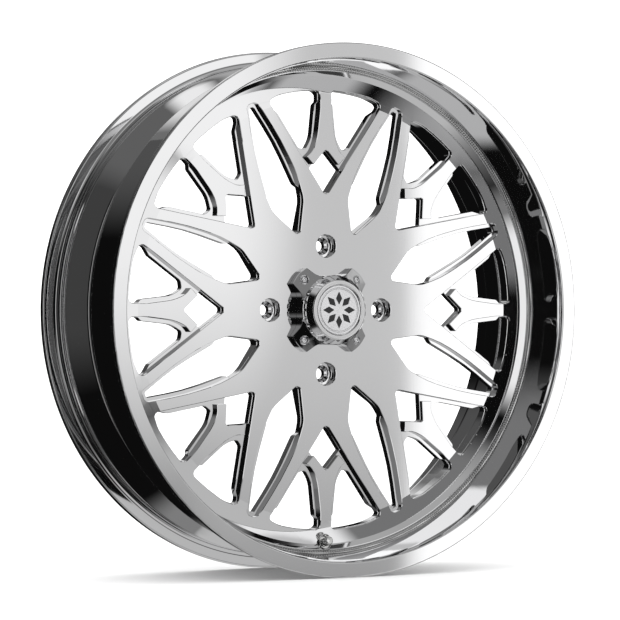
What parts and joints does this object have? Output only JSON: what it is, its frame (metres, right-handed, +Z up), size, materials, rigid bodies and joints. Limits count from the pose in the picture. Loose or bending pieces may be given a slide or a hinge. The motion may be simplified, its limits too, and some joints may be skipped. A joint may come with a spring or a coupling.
{
  "type": "wheel rim",
  "caption": "Polished off-road wheel rim: deep front lip, welded-in spoked disc of Y and V spokes, drop-well barrel, screw-on centre cap and clamp-in tyre valve.",
  "frame": {"origin": "on the wheel's axis, midway between the outer faces of the two flanges", "axes": "+Y along the wheel's axis, from the face towards the vehicle; the face looks towards -Y; +Z up, with the valve at the bottom"},
  "size_m": [0.6434, 0.1974, 0.6434],
  "materials": {
    "polished_alloy": "mirror polished forged aluminium",
    "weld_alloy": "weld bead, as laid",
    "cap_alloy": "polished turned aluminium",
    "badge_plate": "brushed disc",
    "screw_steel": "bright stainless steel",
    "valve_plate": "nickel plated",
    "brass": "bare",
    "rubber": "moulded, matt"
  },
  "bodies": {
    "wheel": {"barrel": "polished_alloy", "center_disc": "polished_alloy", "front_weld": "weld_alloy", "rear_weld": "weld_alloy", "cap_base": "cap_alloy", "cap_screw_1": "screw_steel", "cap_screw_2": "screw_steel", "cap_screw_3": "screw_steel", "cap_screw_4": "screw_steel", "valve_stem": "valve_plate", "valve_grommet": "rubber", "valve_washer": "valve_plate", "valve_nut": "valve_plate", "valve_core": "brass", "valve_core_spring": "screw_steel"},
    "cap_seal": {"cap_oring": "rubber"},
    "cap_top": {"cap_crown": "cap_alloy", "cap_badge": "badge_plate"},
    "valve_seal": {"valve_cap_seal": "rubber"},
    "valve_top": {"valve_cap": "valve_plate"},
    "valve_pin": {"valve_core_pin": "brass", "valve_core_seal": "rubber"}
  },
  "joints": [
    {"name": "cap_seal_lift", "type": "slide", "parent": "wheel", "child": "cap_seal", "axis": [0, -1, 0], "range_m": [0, 0.0062]},
    {"name": "cap_crown_turn", "type": "hinge", "parent": "cap_seal", "child": "cap_top", "pos_m": [0, -0.0342, 0], "axis": [0, -1, 0], "range_deg": [0, 1080]},
    {"name": "valve_seal_lift", "type": "slide", "parent": "wheel", "child": "valve_seal", "axis": [0, -0.9613, 0.2756], "range_m": [0, 0.0045]},
    {"name": "valve_cap_turn", "type": "hinge", "parent": "valve_seal", "child": "valve_top", "pos_m": [0, -0.0342, -0.2825], "axis": [0, -0.9613, 0.2756], "range_deg": [0, 1980]},
    {"name": "valve_pin_press", "type": "slide", "parent": "wheel", "child": "valve_pin", "axis": [0, 0.9613, -0.2756], "range_m": [0, 0.0012], "stiffness_N_per_m": 200, "springref_m": -0.002}
  ],
  "couplings": [
    {"joint": "cap_seal_lift", "follows": "cap_crown_turn", "m_per_rad": 0.00031831},
    {"joint": "valve_seal_lift", "follows": "valve_cap_turn", "m_per_rad": 0.00012637}
  ]
}
